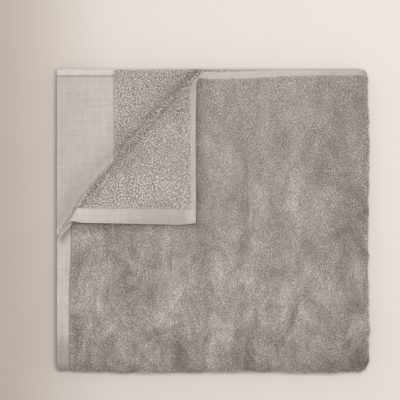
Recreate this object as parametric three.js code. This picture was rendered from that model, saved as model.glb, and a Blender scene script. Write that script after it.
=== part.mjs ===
// Folded bath towel of terry cloth: one sheet, folded crosswise into four, lengthwise in half,
// with the top layer's far left corner turned back.
// Millimetres, Z up. X runs to the right, Y away from the viewer, the middle of the underside is the origin.
import * as THREE from 'three';

// Folded outline, seen from above
const halfSpan = 179.8;
const halfDepth = 175.2;

// Cloth
const pileThickness = 3.0;
const hemThickness = 2.0;
const bandThickness = 1.6;
const endHem = 14.8;
const endBand = 67.5;
const sideHem = 6.6;
const pileRamp = 1.8;

// Stack of four layers, folded once more into eight
const pitch = 3.6;
const stackHeight = 4 * pitch;
const underside = (pitch - pileThickness) / 2;

// Crosswise folds: each run of cloth lies on a level of the stack, counted in layers from its underside.
// farInset and nearInset draw in its two side hems, on the upper and the lower half.
const rightBend = halfSpan - 1.5 * pitch - pileThickness / 2;
const leftBend = -halfSpan + 0.5 * pitch + pileThickness / 2 + 1.6;
const runs = [
  { level: 3.5, from: -halfSpan, to: rightBend, farInset: 1.0, nearInset: 4.5 },
  { level: 0.5, from: rightBend, to: leftBend, farInset: 2.4, nearInset: 2.6 },
  { level: 1.5, from: leftBend, to: rightBend, farInset: 1.8, nearInset: 3.4 },
  { level: 2.5, from: rightBend, to: -halfSpan - 0.3, farInset: 0, nearInset: 6.0 },
];
const insetReach = 70;
// Beside the turned corner the top layer's far hem is drawn in further, less and less towards the right
const hemPull = { from: -30, full: 2, to: 95, size: 2.6 };

// Lengthwise fold along the near edge
const foldReach = 0.94;
const foldLine = -halfDepth + foldReach * (3.5 * pitch + pileThickness / 2);
const foldTakeUp = 28;
const farRun = halfDepth - foldLine;

// Turned-back corner. It folds over a line from the left edge up to the far edge, at 45 degrees.
// along is measured on that line, with 0 beside the middle of the towel; base is where the cloth leaves
// the layer below, across the line; reach and height are the roll's, takeUp is the cloth that it uses.
const cornerRoll = [
  { along: -142, base: -111.0, reach: 3.2, height: 18.0, takeUp: 39 },
  { along: -122, base: -111.8, reach: 4.2, height: 18.5, takeUp: 37.5 },
  { along: -103, base: -113.2, reach: 5.0, height: 17.0, takeUp: 35 },
  { along: -90, base: -116.6, reach: 4.6, height: 14.0, takeUp: 28.4 },
  { along: -72, base: -120.4, reach: 4.0, height: 10.4, takeUp: 20.8 },
  { along: -50, base: -123.4, reach: 3.2, height: 7.4, takeUp: 14.8 },
  { along: -20, base: -124.6, reach: 2.7, height: 5.6, takeUp: 12.4 },
  { along: 15, base: -124.6, reach: 2.3, height: 4.8, takeUp: 12.0 },
  { along: 37, base: -126.4, reach: 2.1, height: 4.4, takeUp: 8.6 },
  { along: 57, base: -127.9, reach: 2.0, height: 4.2, takeUp: 5.8 },
  { along: 84, base: -127.9, reach: 2.0, height: 4.0, takeUp: 5.6 },
  { along: 118, base: -126.4, reach: 2.0, height: 4.0, takeUp: 7.0 },
];
// The turned cloth also slips along the line, less at the left edge, where the roll stands open
const cornerDrift = 12.3;
const driftStart = -136;
const driftFull = -92;
const driftRun = 4;
const swayReach = 60;
// The turned-back end hem isn't quite straight: its rise towards the far edge, by distance from the corner
const hemSway = [
  { fromSide: 0, rise: 1.0 },
  { fromSide: 18, rise: -1.3 },
  { fromSide: 50, rise: -0.7 },
  { fromSide: 95, rise: 0.3 },
  { fromSide: 140, rise: 1.2 },
];
// Past the roll it comes down to flapRest above the layer below, and its free edges lift again
const flapRest = 4.0;
const settleStart = 6;
const settlePerRise = 3.2;
const flapEdgeLift = 4.6;
const flapEdgeReach = 34;
const liftStart = 30;

// How the stack lies: thinner towards its free edges, with shallow waves over its top
const leftThinning = 0.1;
const leftThinReach = 95;
const farThinning = 0.05;
const farThinReach = 60;
const topWaves = [
  { length: 210, heading: 35, share: 0.012 },
  { length: 150, heading: -50, share: 0.01 },
  { length: 118, heading: 82, share: 0.007 },
];
const edgeWaves = [
  { length: 112, height: 0.25 },
  { length: 184, height: 0.6 },
];
const corners = [
  { x: 1, y: -1, radius: 14 },
  { x: -1, y: -1, radius: 9 },
  { x: 1, y: 1, radius: 9 },
];
const cornerPull = 0.7;
const cornerSoftness = 0.98;
const edgeFade = 60;

// Fineness of the mesh
const bendSteps = 6;
const foldSteps = 8;
const rollSteps = 8;
const flapLines = [8, 20, 42, 75];
const snap = 0.22;
const cutMargin = 0.08;
const lastLevel = rollSteps + flapLines.length;
const runStations = [-164.9, -162.9, -140, -112.4, -110.4, -80, -45, -5, 35, 75, 115, 148];
const cornerStations = [-150, -127, -98, -62, -25, 15];
const farStations = [sideHem, sideHem + pileRamp, 32, 60, 90, 118, 140, 158, 176, 196, 230, 268, 306];
const nearStations = [50, 105, 160, 215, 270, 322];

const clamp01 = (v) => Math.min(1, Math.max(0, v));
const ease = (v) => clamp01(v) ** 2 * (3 - 2 * clamp01(v));
const wave = (place, length) => Math.sin((2 * Math.PI * place) / length);

// Straight pieces and half-round bends of the crosswise section, in order along the cloth
function sectionPieces() {
  const pieces = [];
  let start = 0;
  runs.forEach((run, i) => {
    const heading = Math.sign(run.to - run.from);
    const straight = Math.abs(run.to - run.from);
    pieces.push({ start, length: straight, run, heading });
    start += straight;
    const next = runs[i + 1];
    if (next) {
      const radius = ((next.level - run.level) * pitch) / 2;
      const length = Math.PI * Math.abs(radius);
      pieces.push({ start, length, run, next, heading, radius });
      start += length;
    }
  });
  return { pieces, length: start };
}
const section = sectionPieces();
const clothLength = section.length;
const nearRun = farRun;
const clothWidth = farRun + foldTakeUp + nearRun;

// Where the crosswise section puts the line of cloth at s, with the direction of its outer face
function sectionAt(s) {
  const inside = section.pieces.find((p) => s <= p.start + p.length + 1e-9) ?? section.pieces.at(-1);
  const along = s - inside.start;
  const { run, heading } = inside;
  if (!inside.next) {
    return {
      x: run.from + heading * along,
      z: run.level * pitch,
      faceX: 0,
      faceZ: heading,
      farInset: run.farInset,
      nearInset: run.nearInset,
    };
  }
  const turn = along / Math.abs(inside.radius);
  const share = turn / Math.PI;
  const size = Math.abs(inside.radius);
  const side = Math.sign(inside.radius);
  return {
    x: run.to + heading * size * Math.sin(turn),
    z: run.level * pitch + inside.radius * (1 - Math.cos(turn)),
    faceX: -side * Math.sin(turn),
    faceZ: heading * Math.cos(turn),
    farInset: run.farInset + share * (inside.next.farInset - run.farInset),
    nearInset: run.nearInset + share * (inside.next.nearInset - run.nearInset),
  };
}

// A column of a table at a place between its rows, on a smooth curve
function tableAt(rows, placeKey, place, key) {
  const held = Math.min(rows.at(-1)[placeKey], Math.max(rows[0][placeKey], place));
  const i = Math.max(1, rows.findIndex((row) => row[placeKey] >= held));
  const [a, b] = [rows[i - 1], rows[i]];
  const before = rows[Math.max(0, i - 2)];
  const after = rows[Math.min(rows.length - 1, i + 1)];
  const step = b[placeKey] - a[placeKey];
  const slopeA = ((b[key] - before[key]) / (b[placeKey] - before[placeKey])) * step;
  const slopeB = ((after[key] - a[key]) / (after[placeKey] - a[placeKey])) * step;
  const share = (held - a[placeKey]) / step;
  const [s2, s3] = [share ** 2, share ** 3];
  return (
    (2 * s3 - 3 * s2 + 1) * a[key] +
    (s3 - 2 * s2 + share) * slopeA +
    (3 * s2 - 2 * s3) * b[key] +
    (s3 - s2) * slopeB
  );
}

// The corner roll's sizes at a place along its line
function rollAt(along) {
  const column = (key) => tableAt(cornerRoll, 'along', along, key);
  return { base: column('base'), reach: column('reach'), height: column('height'), takeUp: column('takeUp') };
}

// Height and place of the turned-back cloth, past distance beyond the base line
function rollCurve(roll, past, lift) {
  if (past <= roll.takeUp) {
    const turn = (Math.PI * past) / roll.takeUp;
    return { out: -roll.reach * Math.sin(turn), up: (roll.height / 2) * (1 - Math.cos(turn)) };
  }
  const beyond = past - roll.takeUp;
  const settleRun = settleStart + settlePerRise * (roll.height - flapRest);
  const settled = roll.height + (flapRest - roll.height) * ease(beyond / settleRun);
  return { out: beyond, up: settled + lift * ease(beyond / liftStart) };
}

function pastBase(x, y) {
  const along = (x + y) / Math.SQRT2;
  return rollAt(along).base - (x - y) / Math.SQRT2;
}

function turnCorner(point, offset) {
  const along = (point.x + point.y) / Math.SQRT2;
  const across = (point.x - point.y) / Math.SQRT2;
  const roll = rollAt(along);
  const past = roll.base - across;
  if (past <= 0) return { x: point.x, y: point.y, up: offset };
  const fromEnd = point.x + halfSpan;
  const fromSide = halfDepth - point.y;
  const toEdge = Math.min(fromEnd, fromSide);
  const lift = flapEdgeLift * (1 - ease(toEdge / flapEdgeReach));
  const here = rollCurve(roll, past, lift);
  const small = 0.01;
  const ahead = rollCurve(roll, past + small, lift);
  const back = rollCurve(roll, past - small, lift);
  const size = Math.hypot(ahead.out - back.out, ahead.up - back.up);
  const faceOut = (ahead.up - back.up) / size;
  const faceUp = -(ahead.out - back.out) / size;
  const turned = ease(past / (roll.takeUp + driftRun));
  const drift = cornerDrift * ease((along - driftStart) / (driftFull - driftStart)) * turned;
  const outward = roll.base + here.out + offset * faceOut;
  const onward = along - drift;
  const sway = tableAt(hemSway, 'fromSide', fromSide, 'rise');
  return {
    x: (onward + outward) / Math.SQRT2,
    y: (onward - outward) / Math.SQRT2 + sway * turned * (1 - ease(fromEnd / swayReach)),
    up: here.up + offset * faceUp,
  };
}

// How the folded stack settles: its thickness shares, its wavy folds and its rounded corners
function settle({ x, y, z }) {
  let share = 1;
  share -= leftThinning * (1 - ease((x + halfSpan) / leftThinReach));
  share -= farThinning * (1 - ease((halfDepth - y) / farThinReach));
  for (const { length, heading, share: size } of topWaves) {
    const angle = THREE.MathUtils.degToRad(heading);
    share += size * wave(x * Math.cos(angle) + y * Math.sin(angle), length);
  }
  let outX = x;
  let outY = y;
  const [short, long] = edgeWaves;
  const sideways = short.height * wave(y + 2 * z, short.length) + long.height * wave(y - z, long.length);
  const lengthways = short.height * wave(x - 2 * z, short.length) + long.height * wave(x + z, long.length);
  outX += sideways * ease((x - halfSpan + edgeFade) / edgeFade);
  outY += lengthways * ease((-halfDepth + edgeFade - y) / edgeFade);
  for (const corner of corners) {
    const into = clamp01((corner.y * y - halfDepth + corner.radius) / corner.radius);
    const pull = corner.radius * (1 - Math.sqrt(1 - into ** 2 * cornerSoftness)) * cornerPull;
    outX -= corner.x * pull * ease((corner.x * x - halfSpan + edgeFade) / edgeFade);
  }
  return new THREE.Vector3(outX, outY, z * share);
}

// How far the top layer's far half is drawn in from the far edge
function topInset(x, t) {
  const pull = ease((x - hemPull.from) / (hemPull.full - hemPull.from));
  const left = 1 - ease((x - hemPull.full) / (hemPull.to - hemPull.full));
  return (runs[0].farInset + hemPull.size * pull * left) * (1 - ease(t / insetReach));
}

// A point of the towel: s along the cloth, t across it, offset from its middle towards its outer face
function towelPoint(s, t, offset) {
  const cut = sectionAt(s);
  const turn = Math.PI * clamp01((t - farRun) / foldTakeUp);
  const far = t <= farRun;
  const topLayer = far && s < runs[0].to - runs[0].from;
  let y = halfDepth - Math.min(t, farRun) + Math.max(0, t - farRun - foldTakeUp);
  const fromSide = Math.min(t, clothWidth - t);
  const inset = (far ? cut.farInset : cut.nearInset) * (1 - ease(fromSide / insetReach));
  y -= topLayer ? topInset(cut.x, t) : inset;
  let x = cut.x + cut.faceX * offset;
  let rise = cut.z + cut.faceZ * offset;
  if (topLayer) {
    const turned = turnCorner({ x, y }, offset);
    x = turned.x;
    y = turned.y;
    rise = cut.z + turned.up;
  }
  y -= foldReach * rise * Math.sin(turn);
  return settle({ x, y, z: stackHeight + rise * Math.cos(turn) - underside });
}

function halfThickness(s, t) {
  const share = (distance, width) => clamp01((distance - width) / pileRamp);
  const fromSide = Math.min(t, clothWidth - t);
  const piled = Math.min(share(s, endHem), share(clothLength - s, endBand), share(fromSide, sideHem));
  const flat = clothLength - s < endBand + pileRamp ? bandThickness : hemThickness;
  return (flat + (pileThickness - flat) * piled) / 2;
}

// Lines of the mesh along and across the cloth
function linesAlong() {
  const lines = [];
  section.pieces.forEach((piece) => {
    const { run, heading } = piece;
    if (piece.next) {
      for (let i = 0; i < bendSteps; i += 1) lines.push(piece.start + (piece.length * i) / bendSteps);
      return;
    }
    const stations = run === runs[0] ? [...runStations, ...cornerStations] : runStations;
    const places = stations.map((x) => piece.start + heading * (x - run.from));
    const end = piece.start + piece.length;
    lines.push(piece.start, ...places.filter((s) => s > piece.start + 1 && s < end - 1));
  });
  lines.push(clothLength);
  return lines.sort((a, b) => a - b);
}

function linesAcross() {
  const lines = [0, ...farStations];
  for (let i = 0; i <= foldSteps; i += 1) lines.push(farRun + (foldTakeUp * i) / foldSteps);
  const nearStart = farRun + foldTakeUp;
  lines.push(...nearStations.map((run) => nearStart + run));
  lines.push(clothWidth - sideHem - pileRamp, clothWidth - sideHem, clothWidth);
  return lines;
}

// How far round the corner roll a spot of the cloth lies: 0 at its base, rollSteps at its end
function rollLevel(s, t) {
  if (s >= runs[0].to - runs[0].from || t > farRun) return -1;
  const x = runs[0].from + s;
  const y = halfDepth - t - topInset(x, t);
  const past = pastBase(x, y);
  const { takeUp } = rollAt((x + y) / Math.SQRT2);
  if (past <= takeUp) return Math.max(-1, (rollSteps * past) / takeUp);
  const beyond = past - takeUp;
  const i = flapLines.findIndex((line) => beyond < line);
  if (i < 0) return lastLevel + 1;
  const low = i ? flapLines[i - 1] : 0;
  return rollSteps + i + (beyond - low) / (flapLines[i] - low);
}

// A level that is nearly whole counts as whole, so that no sliver is cut beside a mesh line
function snapped(level) {
  const nearest = Math.round(level);
  const close = nearest >= 0 && nearest <= lastLevel && Math.abs(level - nearest) < snap;
  return close ? nearest : level;
}

// Spots of the cloth, each used by both of its faces
const spots = [];
const cuts = new Map();
function addSpot(s, t, level) {
  spots.push({ s, t, level });
  return spots.length - 1;
}

function cutBetween(a, b, level) {
  const key = `${Math.min(a, b)} ${Math.max(a, b)} ${level}`;
  if (!cuts.has(key)) {
    const [low, high] = spots[a].level < spots[b].level ? [spots[a], spots[b]] : [spots[b], spots[a]];
    let [from, to] = [0, 1];
    for (let i = 0; i < 40; i += 1) {
      const middle = (from + to) / 2;
      const s = low.s + (high.s - low.s) * middle;
      const t = low.t + (high.t - low.t) * middle;
      if (rollLevel(s, t) < level) from = middle;
      else to = middle;
    }
    const share = Math.min(1 - cutMargin, Math.max(cutMargin, to));
    cuts.set(key, addSpot(low.s + (high.s - low.s) * share, low.t + (high.t - low.t) * share, level));
  }
  return cuts.get(key);
}

function splitAt(outline, level) {
  const below = [];
  const above = [];
  outline.forEach((spot, i) => {
    const next = outline[(i + 1) % outline.length];
    const here = spots[spot].level;
    const there = spots[next].level;
    if (here <= level) below.push(spot);
    if (here >= level) above.push(spot);
    if ((here < level && there > level) || (here > level && there < level)) {
      const cut = cutBetween(spot, next, level);
      below.push(cut);
      above.push(cut);
    }
  });
  return [below, above];
}

// Flat outlines of the cloth between its mesh lines, split along the corner roll
function clothOutlines() {
  const along = linesAlong();
  const across = linesAcross();
  const grid = along.map((s) => across.map((t) => addSpot(s, t, snapped(rollLevel(s, t)))));
  const outlines = [];
  for (let i = 0; i + 1 < along.length; i += 1) {
    for (let j = 0; j + 1 < across.length; j += 1) {
      let rest = [grid[i][j], grid[i + 1][j], grid[i + 1][j + 1], grid[i][j + 1]];
      for (let level = 0; level <= lastLevel && rest.length > 2; level += 1) {
        if (rest.every((spot) => spots[spot].level <= level)) break;
        if (rest.every((spot) => spots[spot].level >= level)) continue;
        const [below, above] = splitAt(rest, level);
        if (below.length > 2) outlines.push(below);
        rest = above;
      }
      if (rest.length > 2) outlines.push(rest);
    }
  }
  return outlines;
}

// Triangles of an outline. A four-sided one is split the same way in plan on every layer of a half.
function outlineTriangles(outline, points) {
  const [a, , c] = outline.map((spot) => points[spot]);
  const leftward = outline.length === 4 && c.x < a.x;
  const turned = leftward ? [...outline.slice(1), outline[0]] : outline;
  return turned.slice(2).map((spot, i) => [turned[0], turned[i + 1], spot]);
}

function towelGeometry() {
  const outlines = clothOutlines();
  const outer = spots.map(({ s, t }) => towelPoint(s, t, halfThickness(s, t)));
  const inner = spots.map(({ s, t }) => towelPoint(s, t, -halfThickness(s, t)));
  const count = spots.length;
  const triangles = [];
  const edges = new Map();
  for (const outline of outlines) {
    for (const [a, b, c] of outlineTriangles(outline, outer)) {
      triangles.push([a, c, b], [a + count, b + count, c + count]);
    }
    outline.forEach((spot, i) => {
      const next = outline[(i + 1) % outline.length];
      if (!edges.delete(`${next} ${spot}`)) edges.set(`${spot} ${next}`, [spot, next]);
    });
  }
  for (const [a, b] of edges.values()) {
    triangles.push([a, b, b + count], [a, b + count, a + count]);
  }
  const geometry = new THREE.BufferGeometry().setFromPoints([...outer, ...inner]);
  geometry.setIndex(triangles.flat());
  geometry.computeVertexNormals();
  return geometry;
}

const terry = new THREE.MeshStandardMaterial({ color: 0x9e968f, roughness: 0.95, metalness: 0 });
const towel = new THREE.Mesh(towelGeometry(), terry);
towel.name = 'bath_towel';

const model = new THREE.Group();
model.add(towel);

export default model;
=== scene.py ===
"""Folded terry bath towel with looped pile, flat-woven hems, a wide end band and a turned-back corner."""
import math

import bmesh
import bpy
import numpy as np
from bpy.props import FloatProperty, FloatVectorProperty, IntProperty, PointerProperty
from bpy.types import Operator, Panel, PropertyGroup
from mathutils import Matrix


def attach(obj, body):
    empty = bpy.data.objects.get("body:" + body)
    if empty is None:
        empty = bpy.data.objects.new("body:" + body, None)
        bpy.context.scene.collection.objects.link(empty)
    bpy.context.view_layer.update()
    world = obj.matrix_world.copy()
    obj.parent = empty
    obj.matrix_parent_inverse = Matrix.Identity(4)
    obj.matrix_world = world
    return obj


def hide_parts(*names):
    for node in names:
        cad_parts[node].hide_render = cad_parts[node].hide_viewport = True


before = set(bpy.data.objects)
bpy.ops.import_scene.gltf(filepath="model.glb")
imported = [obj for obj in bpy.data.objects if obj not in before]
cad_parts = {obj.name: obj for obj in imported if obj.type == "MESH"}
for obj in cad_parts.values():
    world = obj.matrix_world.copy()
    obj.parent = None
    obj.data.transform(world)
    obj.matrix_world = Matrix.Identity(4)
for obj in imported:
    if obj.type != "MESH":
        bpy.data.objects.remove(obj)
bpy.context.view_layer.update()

bl_info = {
    "name": "Folded bath towel",
    "version": (1, 0, 0),
    "blender": (4, 5, 0),
    "location": "3D View > Sidebar > Towel",
    "description": "Makes a folded terry bath towel with its pile, hems and seams, and a plain studio for it",
    "category": "Object",
}

MM = 0.001
TINY = 1e-12

# The folded towel as in its solid, in millimetres: outline, cloth, stack, crosswise and lengthwise folds
HALF_SPAN = 179.8
HALF_DEPTH = 175.2
PILE_THICKNESS = 3.0
HEM_THICKNESS = 2.0
BAND_THICKNESS = 1.6
END_HEM = 14.8
END_BAND = 67.5
SIDE_HEM = 6.6
PITCH = 3.6
STACK_HEIGHT = 4 * PITCH
UNDERSIDE = (PITCH - PILE_THICKNESS) / 2
RIGHT_BEND = HALF_SPAN - 1.5 * PITCH - PILE_THICKNESS / 2
LEFT_BEND = -HALF_SPAN + 0.5 * PITCH + PILE_THICKNESS / 2 + 1.6
RUN_COLUMNS = ("level", "start_x", "end_x", "far_inset", "near_inset")
RUNS = (
    (3.5, -HALF_SPAN, RIGHT_BEND, 1.0, 4.5),
    (0.5, RIGHT_BEND, LEFT_BEND, 2.4, 2.6),
    (1.5, LEFT_BEND, RIGHT_BEND, 1.8, 3.4),
    (2.5, RIGHT_BEND, -HALF_SPAN - 0.3, 0.0, 6.0),
)
INSET_REACH = 70
PULL_FROM = -30
PULL_FULL = 2
PULL_TO = 95
PULL_SIZE = 2.6
FOLD_REACH = 0.94
FOLD_LINE = -HALF_DEPTH + FOLD_REACH * (3.5 * PITCH + PILE_THICKNESS / 2)
FOLD_TAKE_UP = 28
FAR_RUN = HALF_DEPTH - FOLD_LINE
FOLD_END = FAR_RUN + FOLD_TAKE_UP

# The turned-back corner's roll, by place along its line
ROLL_COLUMNS = ("along", "base", "reach", "height", "take_up")
CORNER_ROLL = (
    (-142, -111.0, 3.2, 18.0, 39),
    (-122, -111.8, 4.2, 18.5, 37.5),
    (-103, -113.2, 5.0, 17.0, 35),
    (-90, -116.6, 4.6, 14.0, 28.4),
    (-72, -120.4, 4.0, 10.4, 20.8),
    (-50, -123.4, 3.2, 7.4, 14.8),
    (-20, -124.6, 2.7, 5.6, 12.4),
    (15, -124.6, 2.3, 4.8, 12.0),
    (37, -126.4, 2.1, 4.4, 8.6),
    (57, -127.9, 2.0, 4.2, 5.8),
    (84, -127.9, 2.0, 4.0, 5.6),
    (118, -126.4, 2.0, 4.0, 7.0),
)
CORNER_DRIFT = 12.3
DRIFT_START = -136
DRIFT_FULL = -92
DRIFT_RUN = 4
SWAY_REACH = 60
HEM_SWAY_COLUMNS = ("from_side", "rise")
HEM_SWAY = ((0, 1.0), (18, -1.3), (50, -0.7), (95, 0.3), (140, 1.2))
FLAP_REST = 4.0
SETTLE_START = 6
SETTLE_PER_RISE = 3.2
FLAP_EDGE_LIFT = 4.6
FLAP_EDGE_REACH = 34
LIFT_START = 30
SMALL_STEP = 0.01

# How the stack lies. A wave is a length, on the top also a heading, and a size. A rounded corner is its side
# in x, its side in y and a radius
LEFT_THINNING = 0.1
LEFT_THIN_REACH = 95
FAR_THINNING = 0.05
FAR_THIN_REACH = 60
TOP_WAVES = ((210, 35, 0.012), (150, -50, 0.01), (118, 82, 0.007))
EDGE_WAVES = ((112, 0.25), (184, 0.6))
CORNERS = ((1, -1, 14), (-1, -1, 9), (1, 1, 9))
CORNER_PULL = 0.7
CORNER_SOFTNESS = 0.98
EDGE_FADE = 60

# Finer forms than the solid's: lumps of the soft folds by length, height and phase, and troughs and ridges
# of the top
LUMPS = ((17, 0.28, 0.4), (27, 0.34, 1.9), (41, 0.36, 4.1))
LUMP_REACH = 14
LUMP_SLANT = 6
LUMP_SHIFT = 50
CREASE_TAPER = 0.35
CREASE_COLUMNS = ("from_x", "from_y", "to_x", "to_y", "width", "height")
CREASES = (
    (-90, 95, -34, 160, 3.4, 1.7),
    (-106, 92, -38, 168, 4.2, -2.2),
    (-5, 20, -5, 170, 7, -2.6),
    (-150, -16, -22, -14, 6, -1.6),
    (-20, 62, 18, 34, 11, -1.6),
    (118, 78, 156, 34, 12, -1.4),
    (150, 6, 154, -46, 11, -1.5),
    (96, -8, 118, -70, 8, -1.2),
    (84, -52, 90, -128, 6, -1.2),
    (30, -56, 34, -96, 7, -1),
    (54, 40, 48, -60, 10, 1.1),
    (-150, -62, -112, -112, 8, -1.5),
    (-106, -96, -80, -136, 9, -1.2),
    (-136, -40, -126, -84, 6, -1.1),
    (-70, -40, -66, -96, 10, 1),
    (-52, -100, -40, -150, 8, -1.2),
    (-24, -60, 4, -66, 7, -1.1),
    (0, -14, 22, -40, 8, -1),
    (60, 150, 110, 140, 14, -0.9),
    (90, 110, 150, 100, 16, 0.8),
    (140, -120, 165, -160, 14, -1.6),
    (-120, 120, -84, 126, 6, -1),
)
RELIEF_COLUMNS = ("length", "heading", "height", "phase")
RELIEF = (
    (31, 8, 0.16, 0.3), (27, -32, 0.14, 2.2), (36, 62, 0.16, 4.0), (23, 20, 0.12, 5.1),
    (19, -14, 0.10, 1.2), (17, 41, 0.09, 3.3), (14, 4, 0.08, 0.9), (13, -58, 0.07, 2.7),
)

# Cloth under the pile, hems that widen or narrow between two places, and seams
GROUND = 0.42
RIM_ROUND = 1.0
RIM_LEAST = 0.03
PILE_RAMP = 1.8
COVERED_HEM = 1.2
BAND_MARGIN = 1
TOP_HEM_SPREAD = 2.2
TOP_HEM_WIDENS = (-45, 0)
TOP_HEM_NARROWS = (0, 150)
CORNER_HEM_LESS = 1.2
CORNER_HEM_WIDENS = (-60, -30)
BAND_HEM_SPREAD = 1.4
END_HEM_SPREAD = 2.3
END_HEM_NARROWS = (200, 262)
END_SHIFT_REACH = 40
SIDE_SHIFT_REACH = 30
SEAM_INSET = 1.5
SEAM_DIP = 0.4
SEAM_WIDTH = 0.55
EDGE_GAP = 0.45

# Where loops stand: not under the turned corner, underneath only in a rim, and up to a distance past the
# corner roll's base line
LEAST_PILE = 0.25
COVERED_CORNER = (-32, 12)
UNDER_RIM = 10
RIGHT_TURN_MARGIN = 1
LEFT_TURN_MARGIN = 2
OUTER_PAST_ROLL = 4
INNER_PAST_ROLL = -3
BENEATH_PAST_ROLL = -22

# Lines of the cloth's mesh: their steps, the lines beside rims and seams, and diagonal cuts along the corner
# roll by start, end and step
GRID = 4.8
HEM_GRID = 3
FOLD_GRID = 1.5
UNDER_GRID = 11
BENEATH_GRID = 12
HIDDEN_GRID = 16
RIM_LINES = (0, 0.1, 0.35, 0.7, 1.1)
FIRST_HEM_LINE = 2.4
SEAM_LINES = (-1.4, -0.6, 0, 0.6)
PAST_END_HEM = 19
PAST_SIDE_HEM = 10
BEFORE_BAND = 3
BAND_START = 2
BENEATH_SHOWN = 150
ROLL_CUTS = ((-153, -138, 1.5), (-138, -121.5, 0.8), (-121.5, -107, 1.5))
CUT_REACH = 8
CUT_SNAP = 0.02

# Patches of pile, in millimetres along and across the cloth
HEM_GAP = 0.4
BAND_GAP = 0.6
FLAP_REACH = 270
BENEATH_REACH = 240

# Pile loops: the shape that is copied, how loops lie, and how they differ. A spread is a share of the size,
# with the least and the most that the size may be
LOOP_RADIUS = 4
LOOP_STEPS = 3
FIRST_SEED = 11
ROW_STEP = 0.87
SCATTER = 0.42
PATH_STEPS = 600
LOOP_FOOT = GROUND - 0.1
LOOP_TOP = GROUND + 0.9
SIZE_SPREAD = (0.16, 0.6, 1.45)
HEIGHT_SPREAD = (0.2, 0.5, 1.5)
YARN_SPREAD = (0.1, 0.7, 1.3)
TINT_LIMITS = (0.6, 1.45)
LAY_LENGTHS = (46, 30)
LAY_HEIGHT = 0.14
LAY_LEAN = 0.35
# Painted light and shade of the pile's lay in each loop's tint
LAY_LIGHT_TINT = 0.04
LOOSE_LEAN = 0.45
LEAN_CURVE = 1.5
UNDERSIDE_LESS = 0.5
NOISE_WAVES = 7
NOISE_LENGTHS = (0.7, 1.6)
NOISE_LEVEL = 2.6

# Stitches
STITCH_LENGTH = 2.5
STITCH_WIDTH = 0.5
STITCH_PITCH = 3.4
STITCH_MARGIN = 4
STITCH_SINK = 0.05
STITCH_AHEAD = 0.6

# UV maps: margins of the cloth's map, of a loop's square and of its yarn, a yarn's cut end and its girth, and
# the size of a stitch in its square
ATLAS_MARGIN = 0.01
CELL_MARGIN = 0.06
YARN_MARGIN = 0.04
CUT_END = 0.03
AROUND_YARN = 0.7
STITCH_CELL = 0.4
STITCH_GIRTH = 0.8
STITCH_ASIDE = 0.08

# Painted shade and painted light in the colour of cloth and loops: beside the turned corner, along its roll,
# at the roll's mouth, towards the folded edges, on the turned hems, the band and the near end of the left
# hem, and along sunk seams. Three numbers together are an amount, and the places where it starts and is full
FLAP_SIDE = -18.6
FLAP_END = -2.9
FLAP_SHADE = 0.38
FLAP_SHADE_REACH = 7.0
ROLL_SHADE_COLUMNS = ("away", "reach", "amount", "starts", "full")
ROLL_SHADES = (
    (-8.2, 4.0, 0.19, -60, -10),
    (-2.3, 1.5, -0.26, -200, -190),
    (1.3, 2.2, 0.2, 85, 60),
    (-5.2, 2.0, -0.1, 85, 60),
    (-5.6, 2.6, 0.2, 60, 85),
    (-4.6, 21.0, 0.14, -200, -190),
)
ROLL_MOUTH = (-165.0, -5.0, -173.0, -21.0)
ROLL_MOUTH_SHADE = 0.45
ROLL_MOUTH_REACH = 4.5
RIGHT_SHADES = ((0.12, 95, 160), (0.07, 162, 174))
NEAR_SHADES = ((0.13, -118, -150), (0.07, -158, -170))
TURNED_HEM = 0.92
TURNED_END_HEM = 1.1
TURNED_END_FADE = (0.26, -150, -55)
TURNED_CORNER = (0.17, 16, 4)
RIM_FADE = 0.09
BAND_FADE = (0.07, -126, -176)
NEAR_END_FADE = (0.2, -124, -152)
DOUBLED_LIT_HEM = 1.19
SEAM_SHADE = 0.5
SEAM_SHADE_REACH = 0.7
NO_SEAM = 99

# Painted light and shade of soft areas where the pile lies one way or the other: scale and strength
LAY_LIGHT_GROUP = "Light And Shade Of The Pile's Lay"
TOP_LAY_LIGHT = (36.0, 0.8)
INNER_LAY_LIGHT = (60.0, 0.25)
FLAT_LAY_LIGHT = (110.0, 0.16)


def ease(v):
    """From 0 at 0 to 1 at 1, level at both, and held beyond them."""
    v = np.clip(v, 0, 1)
    return v * v * (3 - 2 * v)


def between(place, start, full):
    """From 0 at start to 1 at full, level at both."""
    return ease((place - start) / (full - start))


def growing(place, amount, start, full):
    """An amount that grows from 0 at start to its full size at full."""
    return amount * between(place, start, full)


def wave(place, length):
    """A plain wave of a given length."""
    return np.sin(2 * np.pi * place / length)


def diagonal(x, y):
    """Place along the corner roll's line and across it. Used on its own result, it gives x and y again."""
    return (x + y) / math.sqrt(2), (x - y) / math.sqrt(2)


def from_sides(t):
    """Distance across the cloth from the nearer of its side rims."""
    return np.minimum(t, CLOTH_WIDTH - t)


def table_at(rows, columns, place, key):
    """A column of a table at places between its rows, on a smooth curve."""
    rows = np.array(rows, float)
    places, values = rows[:, 0], rows[:, columns.index(key)]
    held = np.clip(place, places[0], places[-1])
    i = np.clip(np.searchsorted(places, held), 1, len(places) - 1)
    before, after = np.maximum(i - 2, 0), np.minimum(i + 1, len(places) - 1)
    step = places[i] - places[i - 1]
    leaving = (values[i] - values[before]) / (places[i] - places[before]) * step
    arriving = (values[after] - values[i - 1]) / (places[after] - places[i - 1]) * step
    share = (held - places[i - 1]) / step
    squared, cubed = share**2, share**3
    curve = (2 * cubed - 3 * squared + 1) * values[i - 1] + (cubed - 2 * squared + share) * leaving
    return curve + (3 * squared - 2 * cubed) * values[i] + (cubed - squared) * arriving


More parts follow.
